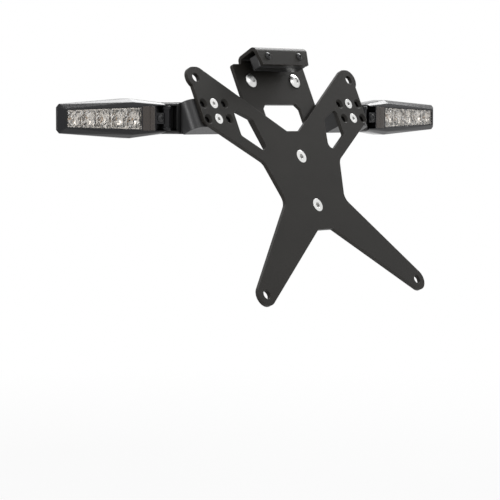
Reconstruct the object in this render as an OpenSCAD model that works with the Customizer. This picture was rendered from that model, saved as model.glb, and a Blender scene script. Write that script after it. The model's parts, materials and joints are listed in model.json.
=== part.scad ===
// Tail tidy: an X-shaped number plate carrier bolted to a folded base bracket with a lamp
// hood, and two swept indicators held behind the carrier's shoulders.
// X is right seen from behind, Y is forward and Z is up. The origin is midway between the
// two tail screws, on the bracket's front-facing side where it meets the tail.

/* [Tilt and clearance] */
// Lean of the sheets from upright, lower edge rearward
tilt = 23.8; // [10:0.2:40]
// Gap around a piece that sits in a pocket
fit = 0.2; // [0.1:0.05:0.4]

/* [Plate carrier] */
// Thickness of the carrier sheet
carrier_t = 3; // [2.5:0.5:4]
// Distance of the plate hole pattern's centre below the tail screws
carrier_drop = 79.4; // [76:0.2:84]
// Number plate hole spacing across
plate_span_x = 170; // [160:1:180]
// Number plate hole spacing up the sheet
plate_span_y = 160; // [150:1:170]
// Diameter of the number plate holes
plate_hole_d = 6.6; // [5:0.1:8]
// Radius of the four arm ends
end_r = 8; // [7:0.5:10]
// Half width of the flat between the upper arms
notch_half = 7; // [5:0.5:10]
// Height of that flat above the pattern centre
notch_y = 39; // [36:0.5:42]
// Distance of the shoulder's side beyond the plate holes
shoulder_out = 5.4; // [5:0.2:7]
// Height of the shoulder tip above the pattern centre
shoulder_y = 46.9; // [42:0.5:48]
// Half width at the armpit corner
armpit_x = 41.8; // [38:0.5:45]
// Height of the armpit corner
armpit_y = 15.7; // [12:0.5:19]
// Half width of the waist
waist_x = 32.4; // [30:0.5:36]
// Depth of the waist corner below the pattern centre
waist_y = 14.1; // [12:0.5:18]
// Half width of the flat between the legs
crotch_half = 8.3; // [6:0.5:12]
// Depth of that flat below the pattern centre
crotch_y = 36.3; // [34:0.5:40]
// Fillet at the armpit and waist corners
waist_fillet = 8; // [4:1:10]
// Fillet at the small inside corners
small_fillet = 2.5; // [1:0.5:4]

/* [Shoulder windows] */
// Metal left under the window along the arm
window_rim = 8.8; // [7:0.2:11]
// Outer edge of the window
window_out_x = 57.4; // [54:0.2:58]
// Height of the window's top corner
window_top_y = 56.1; // [53:0.5:58]
// Upper inner corner across
window_mid_x = 39.6; // [38:0.5:42]
// Upper inner corner height
window_mid_y = 48; // [46:0.5:50]
// Lower inner corner across
window_in_x = 32.6; // [31:0.2:35]
// Corner radius at the window's sharp lower end
window_end_r = 4; // [3:0.5:5]

/* [Shoulder holes] */
// Distance of the middle hole column inside the plate holes
shoulder_hole_in = 10; // [9:0.5:11]
// Upper hole row above the pattern centre
shoulder_hole_y = 60.5; // [59:0.5:62]
// Spacing of the hole columns
shoulder_pitch_x = 10.9; // [10:0.1:11]
// Spacing of the hole rows
shoulder_pitch_y = 11.7; // [10:0.1:12]
// Countersink diameter of the shoulder holes
shoulder_head_d = 7.4; // [7:0.1:7.8]
// Thread diameter of the shoulder screws
shoulder_screw_d = 4; // [3:0.5:4]
// Length of the shoulder screws under the face
shoulder_screw_len = 16; // [14:1:18]

/* [Base bracket] */
// Thickness of the bracket sheet
bracket_t = 2.5; // [2:0.5:3]
// Half width of the bracket
bracket_half = 39; // [36:0.5:41]
// Top edge above the tail screws
bracket_top = 12.9; // [11:0.5:14]
// Start of the taper below the tail screws
taper_start = 29.4; // [26:0.5:34]
// End of the taper below the tail screws
taper_end = 83.4; // [80:1:88]
// Half width of the tongue under the taper
tongue_half = 24; // [20:1:27]
// Bottom of the tongue below the tail screws
tongue_end = 107.4; // [105:0.5:112]
// Half width of the bracket window
port_half = 20.5; // [18:0.5:22]
// Top of the bracket window below the tail screws
port_top = 18.1; // [16:0.5:20]
// Bottom of the bracket window below the tail screws
port_bottom = 50; // [46:1:52]
// Corner chamfer of the bracket window
port_chamfer = 3.7; // [2:0.1:5]
// Spacing of the two tail screws
tail_span = 48.4; // [44:0.2:52]
// Thread diameter of the tail screws
tail_screw_d = 6; // [5:0.5:6]
// Length of the tail screws that stands out in front
tail_reach = 9.5; // [7.5:1:17.5]
// Head diameter of the tail screws
tail_head_d = 10.5; // [9:0.5:11]
// Head height of the tail screws
tail_head_h = 2.6; // [2.2:0.2:3.4]

/* [Centre screws] */
// Upper centre screw above the pattern centre
centre_up = 19.4; // [18:0.2:21]
// Lower centre screw below the pattern centre
centre_down = 18; // [16:0.5:20]
// Thread diameter of the centre screws
centre_screw_d = 5; // [4:0.5:5]
// Countersink diameter of the centre screws
centre_head_d = 9.6; // [9:0.2:10]

/* [Lamp hood] */
// Half width of the hood
hood_half = 28; // [27:0.5:30]
// Clear height of the hood above the tail screws, at the bracket
hood_rise = 16.1; // [15:0.5:18]
// Clear depth from the bracket to the lip
hood_depth = 13.8; // [13:0.2:16]
// Upward slope of the hood's top
hood_slope = 6; // [0:1:10]
// Lip's lower edge above the tail screws
lip_bottom = 5.4; // [4.6:0.2:6]
// Narrowing of the lip towards its lower edge, each side
lip_taper = 3; // [0:0.5:4]
// Inside bend radius of the sheet
bend_r = 1.5; // [1:0.25:2]

/* [Plate lamp] */
// Half length of the lamp body
lamp_half = 25; // [22:0.5:26.5]
// Depth of the lamp body behind the lip
lamp_depth = 9; // [8:0.2:10]
// Underside of the lamp above the tail screws
lamp_bottom = 5.4; // [5:0.2:6]
// Top of the lamp above the tail screws
lamp_top = 14.6; // [14:0.2:15]
// Spacing of the lamp screws
lamp_screw_span = 34.6; // [30:0.2:38]
// Height of the lamp screws above the tail screws
lamp_screw_y = 12; // [11.6:0.2:12.4]
// Thread diameter of the lamp screws
lamp_screw_d = 3; // [2.5:0.5:3]

/* [Indicator adapters] */
// Inner side of the adapter from the middle hole column
adapter_in_run = 16; // [14:0.5:18]
// Outer side of the adapter from the middle hole column
adapter_out_run = 22; // [20:0.5:25]
// Height of the adapter along the sheet
adapter_h = 21; // [20:0.2:22]
// Depth of the adapter in front of the carrier
adapter_depth = 13.4; // [12:0.2:15]
// Length of the level boss that holds the stem
boss_len = 16.5; // [15:0.5:17]
// Front face of the boss ahead of the tail mount
boss_front = 16.5; // [15:0.5:18]
// Rear face of the boss ahead of the tail mount
boss_rear = -3; // [-4:0.5:0]
// Radius of the adapter's outer rear edge
adapter_edge_r = 7; // [4:0.5:8]
// Plastic between the carrier and the nuts
nut_seat = 8; // [6:0.5:9]

/* [Indicators] */
// Length of the stem between the adapter and the housing
stem_len = 16; // [14:0.5:20]
// Rear face of the lens ahead of the tail mount
lens_y = -1.5; // [-3:0.5:0]
// Centre height of the indicators below the tail screws
lens_drop = 25.4; // [24:0.2:27]
// Forward sweep of the indicators
sweep = 3.2; // [0:0.4:6]
// Length of the clear lens
lens_len = 66; // [60:0.2:70]
// Height of the lens at its inner end
lens_h_in = 14.8; // [13:0.2:15]
// Height of the lens at its outer end
lens_h_out = 11; // [10:0.2:12]
// Thickness of the lens
lens_t = 2; // [1.5:0.25:2.5]
// Length of the smoked end panel
smoke_len = 13; // [11:0.5:14]
// Length of the open bay at the housing's root
bay_len = 9; // [8:0.5:10]
// Largest height of the housing
body_h = 26.8; // [26:0.2:29]
// Place of the largest height, from the start of the lens
peak_x = 6.5; // [4:0.5:9]
// Height of the housing at its root
root_h = 21.8; // [21:0.2:22.6]
// Height of the housing at its tip
tip_h = 19.4; // [18:0.2:20]
// Depth of the housing at its highest point
body_d = 26; // [24:0.5:30]
// Depth of the housing at its root
root_d = 20; // [19:0.5:22]
// Depth of the housing where its tip begins
tip_d = 16; // [14:0.5:17]
// Front wall left over the board at the tip
end_wall = 1.5; // [1:0.25:2]
// Metal beyond the lens at the tip
tip_len = 6.6; // [5:0.2:7]
// Height of the flat rear face beside the lens
face_margin = 1.2; // [1:0.2:2]
// Depth of the bezel's outer rim behind the rear face
rim_d = 5; // [4:0.5:6]
// Depth of the crease between the bezel's two slopes
crease_d = 1.6; // [1.2:0.2:2.2]
// Corner cut at the top and bottom of the tip
tip_corner = 1.8; // [1:0.2:3]
// Number of reflector chambers
chambers = 5; // [3:1:6]

/* [Hidden] */
$fn = 48;
LEFT = -1;
RIGHT = 1;

// A cut runs this far past the surface that it opens, a joined piece this far into the next
past = 1;
bite = 0.02;
// An arc stands this far past its tangents, so that the edges cross cleanly
clean = 0.002;
// Added to a thread's diameter for a free hole
free_hole = 0.3;
// Fastener proportions, in thread diameters
button_rise = 0.55;
small_head = 1.8;
nut_rise = 0.8;
nut_flats = 1.6;
small_nut_flats = 1.75;
charcoal = "#3e3c3a";
satin_black = "#1d1d1f";
gloss_black = "#141416";
zinc = "#d4d6d8";
clear_plastic = "#dfe6ea";
smoke_plastic = "#4a3f38";
silvered = "#e8e8ea";
board_green = "#2f4a3a";

// Carrier values
plate_hole = [plate_span_x / 2, plate_span_y / 2];
shoulder_x = plate_hole.x + shoulder_out;
shoulder_hole_x = plate_hole.x - shoulder_hole_in;
arm_slope = atan2(shoulder_y - armpit_y, shoulder_x - armpit_x);
centre_heights = [centre_up, -centre_down];

// Bracket and hood values
lip_in = bracket_t + hood_depth;
lip_out = lip_in + bracket_t;
roof_t = bracket_t / cos(hood_slope);

// Lamp values
lamp_corner_r = 2;
lamp_lens_t = 1.6;
lamp_lens_proud = 0.2;
lamp_wall = 2;
lamp_bay_top = lamp_screw_y - lamp_screw_d / 2 - past;
lamp_leds = 3;

// Adapter values
adapter_in = shoulder_hole_x - adapter_in_run;
adapter_out = shoulder_hole_x + adapter_out_run;
adapter_mid = shoulder_hole_y - shoulder_pitch_y / 2 - carrier_drop;
tenon_len = 7;
tenon_half = 5.5;
stem_y = (boss_front + boss_rear) / 2;
stem_screw_d = 4;
stem_head_d = small_head * stem_screw_d + 2 * fit;
stem_head_h = button_rise * stem_screw_d + fit;

// Indicator values, in the frame of the lens
lens_x = adapter_out + stem_len + bay_len + smoke_len;
smoke_x = -smoke_len;
root_x = smoke_x - bay_len;
tip_x = lens_len + tip_len;
edge_r = 1;
belly = 0.6;
crease_share = 0.55;
board_t = 1.2;
led_w = 2.8;
led_h = 0.9;
reflector_d = 5;
cavity_d = lens_t + reflector_d + board_t;
tip_end_d = crease_d + 3 * edge_r;
// The tip slants no longer than the wall over the board's outer end allows
tip_run = edge_r + (tip_d - tip_end_d) * (tip_len - edge_r) / (cavity_d + end_wall - tip_end_d);
chamber_w = lens_len / chambers;
bowl_r = 9;
bowl_d = reflector_d - 0.8;
rib = 1.2;
led_hole_r = 2.2;
bay_rim = 2.4;
bay_half = root_h / 2 - bay_rim;
bay_d = 10;
tab_half = 3.7;
tab_y = 0.6;
tab_gap = 1.2;
spigot_y = 6;
spigot_gap = 1.5;
spigot_len = bay_len - spigot_gap;
stem_bay = 12;
stem_r = 2.5;
stem_edge = 1;
smoke_t = 3;
smoke_rim = 0.9;
seat_rib = 0.6;
smoke_half = lens_h_in / 2 + smoke_rim;
housing_screw_d = 3;
housing_screw_len = 9;
slab_t = 0.01;
nut_pocket_d = small_nut_flats * shoulder_screw_d / cos(30) + 2 * fit;
lamp_grip = 6;
washer_t = 1;
centre_screw_len = carrier_t + bracket_t + washer_t + nut_rise * centre_screw_d + past;

// Outline whose corners are rounded by true arcs
function toward(a, b) = (b - a) / norm(b - a);
function wrap(points, i) = points[(i + len(points)) % len(points)];
function corner_turn(points, i) = cross(points[i] - wrap(points, i - 1), wrap(points, i + 1) - points[i]);
function half_angle(points, i) =
    acos(toward(points[i], wrap(points, i - 1)) * toward(points[i], wrap(points, i + 1))) / 2;
function arc_centre(points, i, r) =
    let (back = toward(points[i], wrap(points, i - 1)), on = toward(points[i], wrap(points, i + 1)))
    points[i] + (back + on) / norm(back + on) * r / sin(half_angle(points, i));
function arc_ends(points, i, r) = r == 0 ? [points[i]] :
    let (reach = r / tan(half_angle(points, i)))
    [points[i] + toward(points[i], wrap(points, i - 1)) * reach,
     points[i] + toward(points[i], wrap(points, i + 1)) * reach];

module rounded_outline(points, radii) {
    corners = [for (i = [0 : len(points) - 1]) i];
    difference() {
        union() {
            polygon([for (i = corners) each arc_ends(points, i, radii[i])]);
            for (i = corners) if (radii[i] > 0 && corner_turn(points, i) > 0)
                translate(arc_centre(points, i, radii[i])) circle(r = radii[i] + clean);
        }
        for (i = corners) if (radii[i] > 0 && corner_turn(points, i) < 0)
            translate(arc_centre(points, i, radii[i])) circle(r = radii[i] + clean);
    }
}

// Frames
// Along the sheets: X across, Y up the sheets, Z rearward, origin between the tail screws
module sheet_frame() {
    rotate([90 - tilt, 0, 0]) children();
}

// The carrier's hole pattern centre, on the carrier's back face
module carrier_frame() {
    sheet_frame() translate([0, -carrier_drop, bracket_t]) children();
}

// Right indicator: X outward, Y forward, origin at the inner end of the clear lens
module indicator_frame() {
    translate([lens_x, lens_y, -lens_drop]) rotate([0, 0, sweep]) children();
}

module on_side(side) {
    if (side == RIGHT) children();
    else mirror([1, 0, 0]) children();
}

// Extrude a Y-Z profile along X
module across(x0, x1) {
    translate([x0, 0, 0]) rotate([90, 0, 90]) linear_extrude(height = x1 - x0) children();
}

// Extrude an X-Z outline along Y
module along_y(y0, y1) {
    translate([0, y1, 0]) rotate([90, 0, 0]) linear_extrude(height = y1 - y0) children();
}

// Fasteners, with the underside of the head at Z = 0 and the shank down Z
function key_flats(d) = round(d * 1.3) / 2;

module button_screw(d, head_d, head_h, len) {
    rise = head_h * 3 / 4;
    ball_r = (pow(head_d / 2, 2) + pow(rise, 2)) / (2 * rise);
    difference() {
        union() {
            intersection() {
                translate([0, 0, head_h - ball_r]) sphere(r = ball_r);
                cylinder(d = head_d, h = head_h);
            }
            translate([0, 0, -len]) cylinder(d = d, h = len + head_h / 4);
        }
        translate([0, 0, head_h / 2]) cylinder(d = key_flats(d) / cos(30), h = head_h, $fn = 6);
    }
}

module small_screw(d, len) {
    button_screw(d, small_head * d, button_rise * d, len);
}

// The face of the head is at Z = 0
module countersunk_screw(d, head_d, len) {
    head_h = (head_d - d) / 2;
    difference() {
        union() {
            translate([0, 0, -head_h]) cylinder(d1 = d, d2 = head_d, h = head_h);
            translate([0, 0, -len]) cylinder(d = d, h = len - head_h / 2);
        }
        translate([0, 0, -head_h]) cylinder(d = key_flats(d) / cos(30), h = head_h + past, $fn = 6);
    }
}

module countersunk_hole(d, head_d, depth) {
    translate([0, 0, -depth - past]) cylinder(d = d + free_hole, h = depth + 2 * past);
    translate([0, 0, -(head_d - d) / 2]) cylinder(d1 = d, d2 = head_d, h = (head_d - d) / 2);
    cylinder(d = head_d, h = past);
}

module hex_nut(d, flats, h) {
    difference() {
        intersection() {
            cylinder(d = flats / cos(30), h = h, $fn = 6);
            cylinder(r1 = flats / 2 + 2 * h, r2 = flats / 2, h = h);
        }
        translate([0, 0, -past]) cylinder(d = d, h = h + 2 * past);
    }
}

// Plate carrier
function leg_angle(from, side) = let (gap = [plate_hole.x, -plate_hole.y] - from)
    atan2(gap.y, gap.x) + side * asin(end_r / norm(gap));
function leg_touch(from, side) = let (gap = [plate_hole.x, -plate_hole.y] - from)
    from + sqrt(gap * gap - end_r * end_r) * [cos(leg_angle(from, side)), sin(leg_angle(from, side))];
function mirrored(points) = [for (i = [len(points) - 1 : -1 : 0]) [-points[i].x, points[i].y]];
function reversed(list) = [for (i = [len(list) - 1 : -1 : 0]) list[i]];

module carrier_outline() {
    crotch = [crotch_half, -crotch_y];
    waist = [waist_x, -waist_y];
    tip_top = [plate_hole.x - 0.7 * end_r, plate_hole.y + end_r];
    right = [crotch, leg_touch(crotch, -1), leg_touch(waist, 1), waist, [armpit_x, armpit_y],
        [shoulder_x, shoulder_y], [shoulder_x, plate_hole.y], [plate_hole.x, plate_hole.y + end_r], tip_top,
        [notch_half, notch_y]];
    radii = [small_fillet, 0, 0, waist_fillet, waist_fillet, small_fillet, 0, 0, end_r, small_fillet];
    rounded_outline(concat(right, mirrored(right)), concat(radii, reversed(radii)));
    for (x = [-1, 1], y = [-1, 1]) translate([x * plate_hole.x, y * plate_hole.y]) circle(r = end_r + clean);
}

// Window of the right shoulder, its lower edge parallel to the arm's
function over_rim(x) = armpit_y + (x - armpit_x) * tan(arm_slope) + window_rim / cos(arm_slope);
module shoulder_window() {
    corners = [[window_in_x, over_rim(window_in_x)], [window_out_x, over_rim(window_out_x)],
        [window_out_x, window_top_y], [window_mid_x, window_mid_y]];
    rounded_outline(corners, [window_end_r, small_fillet, small_fillet, small_fillet]);
}

module plate_carrier() {
    color(charcoal) carrier_frame() difference() {
        linear_extrude(height = carrier_t) difference() {
            carrier_outline();
            shoulder_window();
            mirror([1, 0]) shoulder_window();
            for (x = [-1, 1], y = [-1, 1]) translate([x * plate_hole.x, y * plate_hole.y])
                circle(d = plate_hole_d);
        }
        for (side = [-1, 1], column = [-1 : 1], row = [0, 1])
            translate([side * (shoulder_hole_x + column * shoulder_pitch_x),
                shoulder_hole_y - row * shoulder_pitch_y, carrier_t])
                countersunk_hole(shoulder_screw_d, shoulder_head_d, carrier_t);
        for (y = centre_heights) translate([0, y, carrier_t])
            countersunk_hole(centre_screw_d, centre_head_d, carrier_t);
    }
}

// Base bracket and its lamp hood, one folded sheet
module bracket_flat() {
    right = [[tongue_half, -tongue_end], [tongue_half, -taper_end], [bracket_half, -taper_start],
        [bracket_half, bracket_top], [hood_half, bracket_top], [hood_half, hood_rise - bend_r]];
    radii = [small_fillet * 2, waist_fillet, waist_fillet, small_fillet, small_fillet, 0];
    difference() {
        rounded_outline(concat(right, mirrored(right)), concat(radii, reversed(radii)));
        rounded_outline([[-port_half, -port_bottom], [port_half, -port_bottom],
            [port_half, -port_top - port_chamfer], [port_half - port_chamfer, -port_top],
            [port_chamfer - port_half, -port_top], [-port_half, -port_top - port_chamfer]],
            [small_fillet, small_fillet, 0, 0, 0, 0]);
    }
}

// Height of the hood's inner roof at a distance from the bracket's back
function roof_y(z) = hood_rise + (z - bracket_t) * tan(hood_slope);
module hood_section() {
    outer_r = bend_r + bracket_t;
    low = lip_bottom - past;
    difference() {
        rounded_outline([[0, lip_bottom], [lip_out, lip_bottom], [lip_out, roof_y(lip_out) + roof_t],
            [0, roof_y(0) + roof_t]], [0, 0, outer_r, outer_r]);
        rounded_outline([[bracket_t, low], [lip_in, low], [lip_in, roof_y(lip_in)], [bracket_t, hood_rise]],
            [0, 0, bend_r, bend_r]);
    }
}

module lip_side_cut() {
    low = lip_bottom - past;
    linear_extrude(height = lip_out + past)
        polygon([[hood_half, hood_rise], [hood_half - lip_taper, lip_bottom], [hood_half - lip_taper, low],
            [hood_half + past, low], [hood_half + past, hood_rise]]);
}

module lamp_screw_places(z) {
    for (side = [-1, 1]) translate([side * lamp_screw_span / 2, lamp_screw_y, z]) children();
}

module base_bracket() {
    color(charcoal) sheet_frame() difference() {
        union() {
            linear_extrude(height = bracket_t) bracket_flat();
            rotate([0, -90, 0]) linear_extrude(height = 2 * hood_half, center = true) hood_section();
        }
        for (side = [-1, 1]) translate([side * tail_span / 2, 0, -past])
            cylinder(d = tail_screw_d + free_hole, h = bracket_t + 2 * past);
        for (y = centre_heights) translate([0, y - carrier_drop, -past])
            cylinder(d = centre_screw_d + free_hole, h = bracket_t + 2 * past);
        lamp_screw_places(lip_in - past) cylinder(d = lamp_screw_d + free_hole, h = bracket_t + 2 * past);
        for (side = [0, 1]) mirror([side, 0, 0]) translate([0, 0, lip_in - past]) lip_side_cut();
    }
}

// Screws of the sheets
module carrier_screws() {
    color(zinc) for (y = centre_heights) carrier_frame() translate([0, y, carrier_t])
        countersunk_screw(centre_screw_d, centre_head_d, centre_screw_len);
}

module carrier_washers() {
    color(zinc) for (y = centre_heights) sheet_frame() translate([0, y - carrier_drop, -washer_t])
        difference() {
            cylinder(d = 2 * centre_screw_d, h = washer_t);
            translate([0, 0, -past]) cylinder(d = centre_screw_d + free_hole, h = washer_t + 2 * past);
        }
}

module carrier_nuts() {
    color(zinc) for (y = centre_heights) sheet_frame()
        translate([0, y - carrier_drop, -washer_t]) mirror([0, 0, 1])
            hex_nut(centre_screw_d, nut_flats * centre_screw_d, nut_rise * centre_screw_d);
}

// Their shanks are relieved inside the bracket
module tail_screws() {
    color(zinc) for (side = [-1, 1]) sheet_frame() translate([side * tail_span / 2, 0, bracket_t])
    difference() {
        button_screw(tail_screw_d, tail_head_d, tail_head_h, bracket_t + tail_reach);
        translate([0, 0, -bracket_t]) difference() {
            cylinder(d = tail_head_d, h = bracket_t);
            translate([0, 0, -past]) cylinder(d = tail_screw_d - free_hole, h = bracket_t + 2 * past);
        }
    }
}

// Plate lamp under the hood
module lamp_plan(margin) {
    half = lamp_half - margin;
    low = lip_in - lamp_depth + margin;
    high = lip_in - margin;
    rounded_outline([[-half, low], [half, low], [half, high], [-half, high]],
        [for (i = [1 : 4]) max(0, lamp_corner_r - margin)]);
}

module lamp_body() {
    color(satin_black) sheet_frame() difference() {
        along_y(lamp_bottom, lamp_top) lamp_plan(0);
        along_y(lamp_bottom - past, lamp_bay_top) lamp_plan(lamp_wall);
        lamp_screw_places(lip_in - lamp_grip) cylinder(d = lamp_screw_d, h = lamp_grip + past);
    }
}

module lamp_board() {
    pitch = 2 * lamp_half / (lamp_leds + 1);
    mid = lip_in - lamp_depth / 2;
    color(board_green) sheet_frame() {
        along_y(lamp_bay_top - board_t, lamp_bay_top) lamp_plan(lamp_wall + fit);
        for (i = [1 : lamp_leds]) translate([i * pitch - lamp_half, lamp_bay_top - board_t - led_h / 2, mid])
            cube([led_w, led_h + bite, led_w], center = true);
    }
}

module lamp_lens() {
    color(clear_plastic) sheet_frame()
        along_y(lamp_bottom - lamp_lens_proud, lamp_bottom + lamp_lens_t) lamp_plan(lamp_wall + fit / 2);
}

module lamp_screws() {
    color(satin_black) sheet_frame() lamp_screw_places(lip_out)
        small_screw(lamp_screw_d, bracket_t + lamp_grip - fit);
}

// Indicator adapter: a moulded block square to the carrier's back, with a level boss at its
// outer end for the stem
module adapter_plan() {
    deep = -adapter_depth - boss_front;
    rounded_outline([[adapter_in, deep], [adapter_out, deep],
        [adapter_out, bracket_t], [adapter_in, bracket_t]], [0, 0, adapter_edge_r, bend_r]);
}

module boss_profile() {
    translate([boss_rear, -lens_drop - root_h / 2]) square([boss_front - boss_rear, root_h]);
}

module shoulder_screw_places() {
    for (row = [0, 1]) carrier_frame()
        translate([shoulder_hole_x, shoulder_hole_y - row * shoulder_pitch_y, 0]) children();
}

module indicator_adapter(side) {
    color(satin_black) on_side(side) difference() {
        union() {
            sheet_frame() intersection() {
                along_y(adapter_mid - adapter_h / 2, adapter_mid + adapter_h / 2) adapter_plan();
                translate([adapter_in - past, -carrier_drop, bracket_t - adapter_depth])
                    cube([adapter_out - adapter_in + 2 * past, carrier_drop, adapter_depth + past]);
            }
            across(adapter_out - boss_len, adapter_out) boss_profile();
        }
        shoulder_screw_places() {
            translate([0, 0, -nut_seat - past])
                cylinder(d = shoulder_screw_d + free_hole, h = nut_seat + 2 * past);
            translate([0, 0, -nut_seat - adapter_depth]) cylinder(d = nut_pocket_d, h = adapter_depth);
        }
        tenon(fit);
        stem_screw_place() {
            translate([0, 0, -boss_front]) cylinder(d = stem_screw_d + free_hole, h = boss_front);
            translate([0, 0, -past / 4]) cylinder(d = stem_head_d, h = stem_head_h + past);
        }
    }
}

module shoulder_screws(side) {
    color(zinc) on_side(side) shoulder_screw_places() translate([0, 0, carrier_t])
        countersunk_screw(shoulder_screw_d, shoulder_head_d, shoulder_screw_len);
}

module shoulder_nuts(side) {
    color(zinc) on_side(side) shoulder_screw_places() translate([0, 0, -nut_seat]) mirror([0, 0, 1])
        hex_nut(shoulder_screw_d, small_nut_flats * shoulder_screw_d, nut_rise * shoulder_screw_d);
}

// Indicator stem: a rubber arm that plugs into the adapter and carries the housing
module tenon(gap) {
    translate([adapter_out - tenon_len - gap, stem_y - tenon_half - gap, -lens_drop - tenon_half - gap])
        cube([tenon_len + gap + past, 2 * (tenon_half + gap), 2 * (tenon_half + gap)]);
}

// Axis forward, at the seat of the head inside the boss's front face
module stem_screw_place() {
    translate([adapter_out - tenon_len / 2, boss_front - stem_head_h, -lens_drop])
        rotate([-90, 0, 0]) children();
}

// Thin slab across X with round corners, between two depths and two heights
module slab(x, y0, y1, z0, z1) {
    for (y = [y0 + stem_r, y1 - stem_r], z = [z0 + stem_r, z1 - stem_r]) translate([x, y, z])
        rotate([0, 90, 0]) cylinder(r = stem_r, h = slab_t, $fn = 24);
}

module indicator_stem(side) {
    half = root_h / 2 - fit;
    color(satin_black) on_side(side) difference() {
        union() {
            hull() {
                slab(adapter_out, boss_rear + stem_edge, boss_front - stem_edge,
                    -lens_drop - half, half - lens_drop);
                indicator_frame() slab(root_x - slab_t, stem_edge, root_d - stem_edge, -half, half);
            }
            tenon(0);
            indicator_frame() translate([root_x - past, spigot_y, fit - bay_half])
                cube([spigot_len + past, bay_d - spigot_y - fit, 2 * (bay_half - fit)]);
        }
        indicator_frame() translate([root_x - stem_bay, -stem_bay, -bay_half])
            cube([stem_bay + spigot_len + past, spigot_y + stem_bay, 2 * bay_half]);
        stem_screw_place() translate([0, 0, -boss_front]) cylinder(d = stem_screw_d, h = boss_front);
        housing_screw_place() cylinder(d = housing_screw_d, h = housing_screw_len);
    }
}

module stem_screw(side) {
    color(satin_black) on_side(side) stem_screw_place() small_screw(stem_screw_d, stem_y + tenon_half);
}

// Housing screw: axis along Y, its head on the tab's rear face
module housing_screw_place() {
    indicator_frame() translate([root_x + bay_len / 2, tab_y, 0]) rotate([-90, 0, 0]) children();
}

module housing_screw(side) {
    color(satin_black) on_side(side) housing_screw_place() mirror([0, 0, 1])
        small_screw(housing_screw_d, housing_screw_len);
}

// Indicator housing, a swept shell with a creased bezel, a slanting tip and a bay at its root
module edge_ball(x, y, z) {
    for (s = [-1, 1]) translate([x, y, s * (z - edge_r)]) sphere(r = edge_r, $fn = 20);
}

module housing_slice(x, face_half, half, depth) {
    edge_ball(x, edge_r, face_half);
    edge_ball(x, crease_d + edge_r, face_half + crease_share * (half - face_half));
    edge_ball(x, rim_d + edge_r, half);
    edge_ball(x, belly * depth, half);
    edge_ball(x, depth - edge_r, half / 2);
}

module housing_form() {
    tip_half = lens_h_out / 2 + face_margin;
    tip_crease = tip_half + crease_share * (tip_h / 2 - tip_half);
    difference() {
        hull() {
            housing_slice(root_x, bay_half + smoke_rim, root_h / 2, root_d);
            housing_slice(peak_x, lens_h_in / 2 + face_margin, body_h / 2, body_d);
            housing_slice(tip_x - tip_run, tip_half, tip_h / 2, tip_d);
            edge_ball(tip_x - rim_d, edge_r, tip_half);
            edge_ball(tip_x - edge_r - crease_d, crease_d + edge_r, tip_crease);
            edge_ball(tip_x - edge_r - tip_corner, crease_d + 2 * edge_r, tip_h / 2);
            edge_ball(tip_x - edge_r, crease_d + 2 * edge_r, tip_h / 2 - tip_corner);
        }
        translate([root_x - bay_len, -past, -body_h]) cube([bay_len, 2 * body_d, 2 * body_h]);
    }
}

function lens_half(x) = (lens_h_in + (lens_h_out - lens_h_in) * x / lens_len) / 2;
module lens_plan(margin) {
    polygon([[margin, margin - lens_half(0)], [lens_len - margin, margin - lens_half(lens_len)],
        [lens_len - margin, lens_half(lens_len) - margin], [margin, lens_half(0) - margin]]);
}

module smoke_plan(margin) {
    inner = smoke_x + seat_rib + margin;
    outer = -seat_rib - margin;
    polygon([[inner, margin - smoke_half], [outer, margin - smoke_half],
        [outer, smoke_half - margin], [inner, smoke_half - margin]]);
}

module indicator_housing(side) {
    color(gloss_black) on_side(side) difference() {
        indicator_frame() difference() {
            housing_form();
            along_y(-past, cavity_d) lens_plan(0);
            along_y(-past, smoke_t) smoke_plan(0);
            difference() {
                translate([root_x - past, -past, -bay_half])
                    cube([bay_len + past, bay_d + past, 2 * bay_half]);
                translate([root_x + tab_gap, tab_y, -tab_half])
                    cube([bay_len, spigot_y - tab_y, 2 * tab_half]);
            }
        }
        housing_screw_place() translate([0, 0, -past])
            cylinder(d = housing_screw_d + free_hole, h = spigot_y + past);
    }
}

module smoked_panel(side) {
    color(smoke_plastic) on_side(side) indicator_frame() along_y(0, smoke_t) smoke_plan(fit / 2);
}

module indicator_lens(side) {
    color(clear_plastic) on_side(side) indicator_frame() along_y(0, lens_t) lens_plan(fit / 2);
}

module reflector(side) {
    color(silvered) on_side(side) indicator_frame() difference() {
        along_y(lens_t, lens_t + reflector_d) lens_plan(fit);
        for (i = [0 : chambers - 1]) translate([(i + 0.5) * chamber_w, lens_t, 0]) {
            tall = 2 * lens_half((i + 0.5) * chamber_w) - 2 * rib;
            intersection() {
                translate([0, bowl_d - bowl_r, 0]) sphere(r = bowl_r);
                cube([chamber_w - rib, 2 * bowl_r, tall], center = true);
            }
            rotate([-90, 0, 0]) cylinder(r = led_hole_r, h = reflector_d + past);
        }
    }
}

module led_board(side) {
    board_y = lens_t + reflector_d;
    color(board_green) on_side(side) indicator_frame() {
        along_y(board_y, board_y + board_t) lens_plan(fit);
        for (i = [0 : chambers - 1]) translate([(i + 0.5) * chamber_w, board_y - led_h / 2, 0])
            cube([led_w, led_h + bite, led_w], center = true);
    }
}

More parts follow.
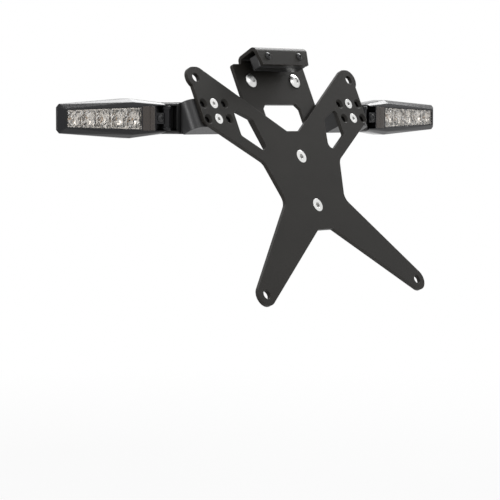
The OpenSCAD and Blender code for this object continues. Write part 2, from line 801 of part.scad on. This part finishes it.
plate_carrier();
base_bracket();
carrier_screws();
carrier_washers();
carrier_nuts();
tail_screws();
lamp_body();
lamp_lens();
lamp_board();
lamp_screws();
shoulder_screws(LEFT);  // shoulder_screws_left
shoulder_screws(RIGHT);  // shoulder_screws_right
shoulder_nuts(LEFT);  // shoulder_nuts_left
shoulder_nuts(RIGHT);  // shoulder_nuts_right
indicator_adapter(LEFT);  // indicator_adapter_left
indicator_adapter(RIGHT);  // indicator_adapter_right
indicator_stem(LEFT);  // indicator_stem_left
indicator_stem(RIGHT);  // indicator_stem_right
stem_screw(LEFT);  // stem_screw_left
stem_screw(RIGHT);  // stem_screw_right
indicator_housing(LEFT);  // indicator_housing_left
indicator_housing(RIGHT);  // indicator_housing_right
smoked_panel(LEFT);  // smoked_panel_left
smoked_panel(RIGHT);  // smoked_panel_right
indicator_lens(LEFT);  // indicator_lens_left
indicator_lens(RIGHT);  // indicator_lens_right
reflector(LEFT);  // reflector_left
reflector(RIGHT);  // reflector_right
led_board(LEFT);  // led_board_left
led_board(RIGHT);  // led_board_right
housing_screw(LEFT);  // housing_screw_left
housing_screw(RIGHT);  // housing_screw_right
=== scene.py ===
import json
import math
import random

import bpy
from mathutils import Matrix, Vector


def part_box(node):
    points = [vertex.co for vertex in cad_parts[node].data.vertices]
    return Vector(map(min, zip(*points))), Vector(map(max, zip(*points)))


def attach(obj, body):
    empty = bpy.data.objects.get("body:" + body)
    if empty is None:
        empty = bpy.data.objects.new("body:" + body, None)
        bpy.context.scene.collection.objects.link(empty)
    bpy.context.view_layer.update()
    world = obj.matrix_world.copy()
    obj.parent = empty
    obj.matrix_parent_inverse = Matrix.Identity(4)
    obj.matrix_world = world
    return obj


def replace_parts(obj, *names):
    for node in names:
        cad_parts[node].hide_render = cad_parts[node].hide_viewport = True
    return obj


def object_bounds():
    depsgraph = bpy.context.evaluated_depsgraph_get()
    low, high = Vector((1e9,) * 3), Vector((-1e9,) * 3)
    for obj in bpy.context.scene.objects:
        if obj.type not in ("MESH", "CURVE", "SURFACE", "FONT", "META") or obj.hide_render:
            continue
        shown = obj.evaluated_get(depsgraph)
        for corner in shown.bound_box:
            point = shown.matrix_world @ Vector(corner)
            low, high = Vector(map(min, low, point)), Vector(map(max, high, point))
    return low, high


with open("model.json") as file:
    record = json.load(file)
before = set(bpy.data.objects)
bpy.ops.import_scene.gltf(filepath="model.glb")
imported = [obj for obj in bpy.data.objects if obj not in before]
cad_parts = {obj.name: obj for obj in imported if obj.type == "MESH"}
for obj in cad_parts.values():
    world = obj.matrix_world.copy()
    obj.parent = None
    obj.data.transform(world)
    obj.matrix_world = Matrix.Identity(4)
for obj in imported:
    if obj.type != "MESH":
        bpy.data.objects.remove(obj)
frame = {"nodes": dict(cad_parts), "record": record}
cad_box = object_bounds()
nodes = frame["nodes"]

MM = 0.001
RIGHT, LEFT = 1, -1
SIDES = ((RIGHT, "right"), (LEFT, "left"))

# Linear colours
CHARCOAL = (0.0180, 0.0164, 0.0140, 1)
ZINC = (0.73, 0.73, 0.72, 1)
BLACK = (0.018, 0.018, 0.019, 1)
NYLON = (0.037, 0.037, 0.038, 1)
RUBBER = (0.012, 0.012, 0.012, 1)
# A dark lamp lens: painted shade under the hood's lip
LAMP_LENS_SHADE = (0.015, 0.015, 0.015, 1)
GLOSS_BLACK = (0.012, 0.012, 0.014, 1)
SILVERED = (0.555, 0.535, 0.505, 1)
CLEAR = (0.98, 0.965, 0.945, 1)
SMOKE = (0.085, 0.063, 0.048, 1)
BOARD_WHITE = (0.62, 0.61, 0.58, 1)
AMBER = (0.55, 0.36, 0.20, 1)
FLOOR_PALE = (0.82, 0.82, 0.82, 1)
WHITE = (1, 1, 1, 1)

# Painted shade: how near a corner a face is darkened, on large parts and on small screws
SHADE_REACH = 2.5 * MM
SCREW_SHADE_REACH = 0.7 * MM
SHADE_SAMPLES = 8
# Agreement of the rounded and the flat normal where the painted arris highlight starts, and where it is
# brightest
ARRIS_FROM, ARRIS_TO = 0.995, 0.88
ARRIS_SAMPLES = 8
EDGE_SAMPLES = 6
PATCH_SCALE, PATCH_DETAIL = 35, 4
GRAIN_DETAIL, GRAIN_STRENGTH = 2, 0.6
SPREAD_FROM, SPREAD_TO = 0.35, 0.65
ACRYLIC_IOR = 1.49
# Sockets of a Mix node that mixes two colours
MIX_A, MIX_B, MIX_RESULT = 6, 7, 2


# Nodes
def maths(tree, operation, first, second):
    step = tree.nodes.new("ShaderNodeMath")
    step.operation = operation
    tree.links.new(first, step.inputs[0])
    if isinstance(second, float):
        step.inputs[1].default_value = second
    else:
        tree.links.new(second, step.inputs[1])
    return step.outputs[0]


def map_range(tree, source, from_low, from_high, to_low=0.0, to_high=1.0):
    spread = tree.nodes.new("ShaderNodeMapRange")
    spread.inputs["From Min"].default_value = from_low
    spread.inputs["From Max"].default_value = from_high
    spread.inputs["To Min"].default_value = to_low
    spread.inputs["To Max"].default_value = to_high
    tree.links.new(source, spread.inputs["Value"])
    return spread.outputs["Result"]


def mix_shaders(tree, share, first, second, output):
    mix = tree.nodes.new("ShaderNodeMixShader")
    tree.links.new(share, mix.inputs["Fac"])
    tree.links.new(first, mix.inputs[1])
    tree.links.new(second, mix.inputs[2])
    tree.links.new(mix.outputs["Shader"], tree.nodes[output].inputs["Surface"])


def noise(tree, scale, detail):
    place = tree.nodes.new("ShaderNodeTexCoord")
    texture = tree.nodes.new("ShaderNodeTexNoise")
    texture.inputs["Scale"].default_value = scale
    texture.inputs["Detail"].default_value = detail
    tree.links.new(place.outputs["Object"], texture.inputs["Vector"])
    return texture.outputs["Fac"]


def spread_over(tree, source, low, high):
    """The source turned into the range between two colours."""
    ramp = tree.nodes.new("ShaderNodeValToRGB")
    start, end = ramp.color_ramp.elements
    start.position, end.position = SPREAD_FROM, SPREAD_TO
    start.color, end.color = low, high
    tree.links.new(source, ramp.inputs["Fac"])
    return ramp.outputs["Color"]


def rounded_normal(tree, radius, samples):
    bevel = tree.nodes.new("ShaderNodeBevel")
    bevel.samples = samples
    bevel.inputs["Radius"].default_value = radius
    return bevel.outputs["Normal"]


def painted_arris_highlight(tree, tone, pale, radius):
    """Painted highlight: the tone, changed to the pale colour where the rounded normal leaves the flat
    face, as if the arrises caught the light.
    """
    face = tree.nodes.new("ShaderNodeNewGeometry")
    agreement = tree.nodes.new("ShaderNodeVectorMath")
    agreement.operation = "DOT_PRODUCT"
    tree.links.new(rounded_normal(tree, radius, ARRIS_SAMPLES), agreement.inputs[0])
    tree.links.new(face.outputs["True Normal"], agreement.inputs[1])
    mix = tree.nodes.new("ShaderNodeMix")
    mix.data_type = "RGBA"
    tree.links.new(map_range(tree, agreement.outputs["Value"], ARRIS_FROM, ARRIS_TO), mix.inputs["Factor"])
    tree.links.new(tone, mix.inputs[MIX_A])
    mix.inputs[MIX_B].default_value = pale
    return mix.outputs[MIX_RESULT]


def painted_corner_shade(tree, tone, sheen, distance):
    """Painted shade: the tone and the sheen, darkened near corners as if shade fell there."""
    occlusion = tree.nodes.new("ShaderNodeAmbientOcclusion")
    occlusion.samples = SHADE_SAMPLES
    occlusion.inputs["Distance"].default_value = distance
    tree.links.new(tone, occlusion.inputs["Color"])
    return occlusion.outputs["Color"], maths(tree, "MULTIPLY", occlusion.outputs["AO"], sheen)


# Materials
def scaled(colour, factor):
    return tuple(channel * factor for channel in colour[:3]) + (1,)


def grey(value):
    return (value, value, value, 1)


def new_material(name):
    material = bpy.data.materials.new(name)
    material.use_nodes = True
    return material, material.node_tree, material.node_tree.nodes["Principled BSDF"]


def surface(name, colour, roughness, metallic=0.0, grain=900, depth=0.04 * MM, edge=0.3 * MM,
            variation=0.12, rough_span=0.06, coat=0.0, edge_highlight=0.0, sheen=0.5, shade_reach=0.0,
            transmission=0.0, ior=1.5):
    """A finish with a colour and roughness that vary a little, a fine grain and softened edges.

    The arrises can be made paler by a given factor, as a painted highlight, and faces near a corner
    darkened within a given reach, as painted shade.
    """
    material, tree, shader = new_material(name)
    patches = noise(tree, PATCH_SCALE, PATCH_DETAIL)
    tone = spread_over(tree, patches, scaled(colour, 1 - variation), scaled(colour, 1 + variation))
    shader.inputs["Metallic"].default_value = metallic
    shader.inputs["Coat Weight"].default_value = coat
    shader.inputs["Specular IOR Level"].default_value = sheen
    shader.inputs["Transmission Weight"].default_value = transmission
    shader.inputs["IOR"].default_value = ior
    # Painted highlight: the arrises are made paler
    if edge_highlight:
        tone = painted_arris_highlight(tree, tone, scaled(colour, 1 + edge_highlight), edge)
    # Painted shade: colour and sheen darkened near corners
    if shade_reach:
        tone, shaded_sheen = painted_corner_shade(tree, tone, sheen, shade_reach)
        tree.links.new(shaded_sheen, shader.inputs["Specular IOR Level"])
    tree.links.new(tone, shader.inputs["Base Color"])
    fine = noise(tree, grain, GRAIN_DETAIL)
    rough = spread_over(tree, fine, grey(roughness - rough_span), grey(roughness + rough_span))
    tree.links.new(rough, shader.inputs["Roughness"])
    bump = tree.nodes.new("ShaderNodeBump")
    bump.inputs["Distance"].default_value = depth
    bump.inputs["Strength"].default_value = GRAIN_STRENGTH
    tree.links.new(fine, bump.inputs["Height"])
    tree.links.new(rounded_normal(tree, edge, EDGE_SAMPLES), bump.inputs["Normal"])
    tree.links.new(bump.outputs["Normal"], shader.inputs["Normal"])
    return material


# Where set, a finish gets a painted highlight on its arrises and painted shade near its corners, which on
# zinc darkens the sockets
powder_coat = surface("powder_coat", CHARCOAL, 0.42, grain=1800, depth=0.05 * MM, edge=0.5 * MM,
                      edge_highlight=1.5, sheen=0.2, shade_reach=SHADE_REACH)
zinc_plate = surface("zinc_plate", ZINC, 0.34, metallic=1.0, grain=2500, depth=0.01 * MM, edge=0.2 * MM,
                     shade_reach=SCREW_SHADE_REACH)
black_oxide = surface("black_oxide", BLACK, 0.30, metallic=0.4, grain=2500, edge=0.2 * MM, edge_highlight=6.0)
moulded_nylon = surface("moulded_nylon", NYLON, 0.37, grain=1500, depth=0.03 * MM, edge=0.6 * MM,
                        sheen=0.32, shade_reach=SHADE_REACH)
soft_rubber = surface("soft_rubber", RUBBER, 0.4, grain=1200, depth=0.03 * MM, edge=0.8 * MM,
                      sheen=0.25, shade_reach=SHADE_REACH)
gloss_shell = surface("gloss_shell", GLOSS_BLACK, 0.16, grain=1200, depth=0.01 * MM, edge=0.7 * MM,
                      edge_highlight=3.0, sheen=0.24, shade_reach=SHADE_REACH)
mirror_metal = surface("mirror_metal", SILVERED, 0.12, metallic=1.0, grain=2500, depth=0.005 * MM,
                       variation=0.04, rough_span=0.03)
board_mask = surface("board_mask", BOARD_WHITE, 0.4, grain=1800)
clear_lens = surface("clear_lens", CLEAR, 0.05, grain=1500, depth=0.004 * MM, variation=0.01,
                     rough_span=0.02, transmission=1.0, ior=ACRYLIC_IOR)
smoked_lens = surface("smoked_lens", SMOKE, 0.06, grain=1500, depth=0.004 * MM, variation=0.03,
                      rough_span=0.02, transmission=0.35, ior=ACRYLIC_IOR)
shaded_lamp_lens = surface("shaded_lamp_lens", LAMP_LENS_SHADE, 0.35, grain=1500, depth=0.004 * MM, variation=0.03,
                      rough_span=0.02, transmission=0.2)
amber_dome = surface("amber_dome", AMBER, 0.25, grain=2500, depth=0.005 * MM, edge=0.1 * MM, coat=0.5)

SLOT_LOOK = {"sheet": powder_coat, "zinc": zinc_plate, "black_screw": black_oxide,
             "moulded": moulded_nylon, "stem": soft_rubber, "shell": gloss_shell, "lens": clear_lens,
             "smoke": smoked_lens, "silvered": mirror_metal, "board": board_mask}
for part in frame["record"]["subparts"]:
    finishes = nodes[part["node"]].data.materials
    finishes.clear()
    finishes.append(SLOT_LOOK[part["material_slot"]])
# The lamp's lens is made dark: painted shade under the hood's lip
nodes["lamp_lens"].data.materials[0] = shaded_lamp_lens


# Meshes
def new_object(name, points, faces, look):
    mesh = bpy.data.meshes.new(name)
    mesh.from_pydata(points, [], faces)
    mesh.materials.append(look)
    made = bpy.data.objects.new(name, mesh)
    bpy.context.scene.collection.objects.link(made)
    return made


def add_piece(name, points, faces, look, side=RIGHT, smooth=False):
    """A piece of the object. The left one's points are mirrored, so its faces are turned over."""
    if side == LEFT:
        faces = [face[::-1] for face in faces]
    piece = new_object(name, points, faces, look)
    piece.data.polygons.foreach_set("use_smooth", [smooth] * len(piece.data.polygons))
    piece.data.validate()
    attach(piece, "root")
    return piece


def loft_walls(first, rings, size):
    """The faces between rings of points, which turn right-handed about the way from ring to ring."""
    faces = []
    for start in range(first, first + (rings - 1) * size, size):
        for here in range(size):
            ahead = (here + 1) % size
            faces.append((start + here, start + ahead, start + size + ahead, start + size + here))
    return faces


def loft(rings, size):
    """A loft closed at both ends."""
    last = (rings - 1) * size
    return loft_walls(0, rings, size) + [tuple(reversed(range(size))), tuple(range(last, last + size))]


def circle(radius, sides):
    """Points right-handed round an axis, as steps along the two directions across it."""
    turns = [2 * math.pi * k / sides for k in range(sides)]
    return [(radius * math.cos(turn), radius * math.sin(turn)) for turn in turns]


# Indicators, drawn in the frame of the right lens: x outward, y forward, z up
SWEEP = math.radians(3.2)
LENS_T = 2.0 * MM
LENS_TAPER = 3.8 * MM
CHAMBERS = 5
lens_low, lens_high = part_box("indicator_lens_right")
LENS_H_IN = lens_high.z - lens_low.z
LENS_H_OUT = LENS_H_IN - LENS_TAPER
LENS_LEN = (lens_high.x - lens_low.x - LENS_T * math.sin(SWEEP)) / math.cos(SWEEP)
LENS_FROM = Vector((lens_low.x + LENS_T * math.sin(SWEEP), lens_low.y, (lens_low.z + lens_high.z) / 2))


def to_row(x, y, z, side):
    """A point of the lens frame in the row frame, mirrored for the left indicator."""
    out = x * math.cos(SWEEP) - y * math.sin(SWEEP)
    ahead = x * math.sin(SWEEP) + y * math.cos(SWEEP)
    return (side * (LENS_FROM.x + out), LENS_FROM.y + ahead, LENS_FROM.z + z)


def half_height(x):
    return (LENS_H_IN + (LENS_H_OUT - LENS_H_IN) * x / LENS_LEN) / 2


# Clear lenses with a bevelled rim outside and small facets inside
FACETS_X, FACETS_Z = 54, 11
FACET_DEPTH = 1.1 * MM
FACET_SEED = 11
RIM_FALL = 0.5 * MM


def faceted_lens(name, side):
    draw = random.Random(FACET_SEED)
    points = []
    for layer in ("outer", "inner"):
        for i in range(FACETS_X + 1):
            x = LENS_LEN * i / FACETS_X
            for j in range(FACETS_Z + 1):
                z = (2 * j / FACETS_Z - 1) * half_height(x)
                at_rim = i in (0, FACETS_X) or j in (0, FACETS_Z)
                if layer == "outer":
                    y = RIM_FALL if at_rim else 0
                else:
                    y = LENS_T if at_rim else LENS_T - FACET_DEPTH * draw.random()
                points.append(to_row(x, y, z, side))
    column = FACETS_Z + 1
    inner = (FACETS_X + 1) * column
    faces = []
    for i in range(FACETS_X):
        for j in range(FACETS_Z):
            a, b = i * column + j, (i + 1) * column + j
            c, d = b + 1, a + 1
            faces += [(a, b, c, d), (inner + d, inner + c, inner + b), (inner + d, inner + b, inner + a)]
    rim = [i * column for i in range(FACETS_X)]
    rim += [FACETS_X * column + j for j in range(FACETS_Z)]
    rim += [i * column + FACETS_Z for i in range(FACETS_X, 0, -1)]
    rim += list(range(FACETS_Z, 0, -1))
    for a, b in zip(rim, rim[1:] + rim[:1]):
        faces.append((a, inner + a, inner + b, b))
    return add_piece(name, points, faces, clear_lens, side)


# Smoked end panels with a crowned face and one upright groove
PANEL_T = 3.0 * MM
PANEL_CROWN, CROWN_POWER = 0.2 * MM, 8
GROOVE_AT, GROOVE_HALF, GROOVE_D = 0.4, 0.03, 0.5 * MM
PANEL_FROM, PANEL_TO = -12.3 * MM, -0.7 * MM
PANEL_COLUMNS = 60
panel_low, panel_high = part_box("smoked_panel_right")
PANEL_HALF = (panel_high.z - panel_low.z) / 2


def smoked_face(t):
    """Depth of the panel's face at a share t of its length."""
    groove = max(0.0, 1 - abs(t - GROOVE_AT) / GROOVE_HALF)
    return PANEL_CROWN * (2 * t - 1) ** CROWN_POWER + GROOVE_D * groove


def smoked_panel(name, side):
    points = []
    for k in range(PANEL_COLUMNS + 1):
        t = k / PANEL_COLUMNS
        x = PANEL_FROM + (PANEL_TO - PANEL_FROM) * t
        face_y = smoked_face(t)
        for y, z_side in ((face_y, -1), (PANEL_T, -1), (PANEL_T, 1), (face_y, 1)):
            points.append(to_row(x, y, z_side * PANEL_HALF, side))
    return add_piece(name, points, loft(PANEL_COLUMNS + 1, 4), smoked_lens, side)


# Amber domes of the diodes, one in each chamber
DOME_R = 1.5 * MM
DIODE_FACE_Y = 6.1 * MM
DOME_RINGS, DOME_SPOKES = 5, 16


def diode_domes(name, side):
    points, faces = [], []
    for chamber in range(CHAMBERS):
        mid = LENS_LEN * (chamber + 0.5) / CHAMBERS
        base = len(points)
        for ring in range(DOME_RINGS, 0, -1):
            lean = math.pi / 2 * ring / DOME_RINGS
            for x, z in circle(DOME_R * math.sin(lean), DOME_SPOKES):
                points.append(to_row(mid + x, DIODE_FACE_Y - DOME_R * math.cos(lean), z, side))
        top = len(points)
        points.append(to_row(mid, DIODE_FACE_Y - DOME_R, 0, side))
        faces += loft_walls(base, DOME_RINGS, DOME_SPOKES)
        faces.append(tuple(reversed(range(base, base + DOME_SPOKES))))
        for here in range(DOME_SPOKES):
            faces.append((top - DOME_SPOKES + here, top - DOME_SPOKES + (here + 1) % DOME_SPOKES, top))
    return add_piece(name, points, faces, amber_dome, side, smooth=True)


# Upright pivot barrels, each in the open bay between a smoked panel and its stem
BARREL_X, BARREL_Y = -25.5 * MM, 4.3 * MM
BARREL_HALF = 8.4 * MM
BARREL_R, WAIST_R, CHAMFER = 4.2 * MM, 3.4 * MM, 0.3 * MM
COLLAR = 1.9 * MM
BARREL_SIDES = 32
LOWER_HALF = ((BARREL_R - CHAMFER, -BARREL_HALF), (BARREL_R, CHAMFER - BARREL_HALF),
              (BARREL_R, COLLAR - BARREL_HALF), (BARREL_R - CHAMFER, COLLAR + CHAMFER - BARREL_HALF),
              (WAIST_R, COLLAR + CHAMFER - BARREL_HALF))


def pivot_barrel(name, side):
    outline = list(LOWER_HALF) + [(radius, -z) for radius, z in reversed(LOWER_HALF)]
    points = []
    for radius, z in outline:
        for x, y in circle(radius, BARREL_SIDES):
            points.append(to_row(BARREL_X + x, BARREL_Y + y, z, side))
    return add_piece(name, points, loft(len(outline), BARREL_SIDES), gloss_shell, side)


for side, word in SIDES:
    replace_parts(faceted_lens("optic_lens_" + word, side), "indicator_lens_" + word)
    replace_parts(smoked_panel("grooved_panel_" + word, side), "smoked_panel_" + word)
    diode_domes("diode_domes_" + word, side)
    pivot_barrel("pivot_barrel_" + word, side)

# Threads on the two tail screws, which stand out of the bracket's front face
STUD_LEN = 9.5 * MM
PITCH = 1.0 * MM
THREAD_STEPS = 24
THREAD_START, THREAD_SPARE = 0.3 * PITCH, 1.6 * PITCH
CORE_R, ROOT_R, CREST_R = 2.5 * MM, 2.97 * MM, 3.12 * MM
# Radius and place along one pitch
RIDGE = ((CORE_R, 0.95), (ROOT_R, 0.95), (CREST_R, 0.5), (ROOT_R, 0.05), (CORE_R, 0.05))
OUTWARD = Vector((1, 0, 0))
mounts = {mount["name"]: mount for mount in frame["record"]["mounts"]}
TAIL_X = mounts["tail_mount"]["dims"]["pcd_mm"] / 2 * MM
STUD_AXIS = Vector(mounts["tail_mount"]["axis"])
STUD_DOWN = STUD_AXIS.cross(OUTWARD)


def stud_thread(name, x):
    """One closed right-handed ridge of triangular section."""
    rings = int((STUD_LEN - THREAD_SPARE) / PITCH * THREAD_STEPS) + 1
    points = []
    for k in range(rings):
        turn = 2 * math.pi * k / THREAD_STEPS
        along = THREAD_START + PITCH * k / THREAD_STEPS
        out = OUTWARD * math.cos(turn) + STUD_DOWN * math.sin(turn)
        for radius, ahead in RIDGE:
            points.append(OUTWARD * x + STUD_AXIS * (along + ahead * PITCH) + out * radius)
    return add_piece(name, points, loft(rings, len(RIDGE)), zinc_plate)


for side, word in SIDES:
    stud_thread("tail_thread_" + word, side * TAIL_X)


# Floor and backdrop: camera, glossy and transmission rays see white, the rest see a plain level
FLOOR_HALF = 6.0
FLOOR_DROP = 0.16
FLOOR_ROUGHNESS = 0.9
SHADOW_REACH = 0.9
SHADOW_SHARE = 0.15
BACKDROP_WHITE = 1.0
WORLD_DIM = 0.18


def sees_backdrop(tree):
    path = tree.nodes.new("ShaderNodeLightPath")
    seen = path.outputs["Is Camera Ray"]
    for kind in ("Is Glossy Ray", "Is Transmission Ray"):
        seen = maths(tree, "MAXIMUM", seen, path.outputs[kind])
    return seen


def floor_finish():
    """A pale floor that keeps the shadow near the object and fades to the backdrop's white."""
    material, tree, shader = new_material("floor_look")
    shader.inputs["Base Color"].default_value = FLOOR_PALE
    shader.inputs["Roughness"].default_value = FLOOR_ROUGHNESS
    glow = tree.nodes.new("ShaderNodeEmission")
    glow.inputs["Color"].default_value = WHITE
    glow.inputs["Strength"].default_value = BACKDROP_WHITE
    place = tree.nodes.new("ShaderNodeTexCoord")
    reach = tree.nodes.new("ShaderNodeVectorMath")
    reach.operation = "LENGTH"
    tree.links.new(place.outputs["Object"], reach.inputs[0])
    fade = map_range(tree, reach.outputs["Value"], SHADOW_REACH / 2, SHADOW_REACH, 1 - SHADOW_SHARE)
    share = maths(tree, "MULTIPLY", sees_backdrop(tree), fade)
    mix_shaders(tree, share, shader.outputs["BSDF"], glow.outputs["Emission"], "Material Output")
    return material


floor_z = cad_box[0][2] - FLOOR_DROP
floor_corners = [(x * FLOOR_HALF, y * FLOOR_HALF, floor_z) for x, y in ((-1, -1), (1, -1), (1, 1), (-1, 1))]
floor = new_object("floor", floor_corners, [(0, 1, 2, 3)], floor_finish())

world = bpy.data.worlds.new("studio")
world.use_nodes = True
bpy.context.scene.world = world
dim = world.node_tree.nodes["Background"]
bright = world.node_tree.nodes.new("ShaderNodeBackground")
for backdrop, strength in ((dim, WORLD_DIM), (bright, BACKDROP_WHITE)):
    backdrop.inputs["Color"].default_value = WHITE
    backdrop.inputs["Strength"].default_value = strength
mix_shaders(world.node_tree, sees_backdrop(world.node_tree), dim.outputs["Background"],
            bright.outputs["Background"], "World Output")

# Soft studio lights, each aimed at the part: place, width, height, watts
TARGET = Vector((0.0, 0.0, -0.05))
SOFTBOXES = {"key": ((-0.5, -1.7, 1.3), 1.0, 0.8, 6), "crest": ((1.15, 0.25, 1.1), 1.0, 0.8, 20),
             "top": ((-0.2, 0.5, 1.6), 1.4, 0.8, 3), "side": ((-1.8, -0.1, 0.3), 0.5, 1.0, 14)}
for name, (at, width, height, watts) in SOFTBOXES.items():
    light = bpy.data.lights.new(name, "AREA")
    light.shape = "RECTANGLE"
    light.size, light.size_y = width, height
    light.energy = watts
    softbox = bpy.data.objects.new(name, light)
    softbox.location = at
    softbox.rotation_euler = (TARGET - Vector(at)).to_track_quat("-Z", "Y").to_euler()
    bpy.context.scene.collection.objects.link(softbox)

# Camera, solved from the photograph's outline of the part
CAMERA_AT = Vector((-1.1458, -0.9733, -0.0202))
CAMERA_LOOK = Vector((0.7541, 0.6534, -0.0669))
FOCAL_PIXELS = 2078.6
IMAGE_PIXELS = 500
SENSOR_MM = 36
camera_data = bpy.data.cameras.new("camera")
camera_data.sensor_width = SENSOR_MM
camera_data.lens = FOCAL_PIXELS * SENSOR_MM / IMAGE_PIXELS
camera = bpy.data.objects.new("camera", camera_data)
camera.location = CAMERA_AT
camera.rotation_euler = CAMERA_LOOK.to_track_quat("-Z", "Y").to_euler()
bpy.context.scene.collection.objects.link(camera)
bpy.context.scene.camera = camera
bpy.context.scene.view_settings.view_transform = "Standard"
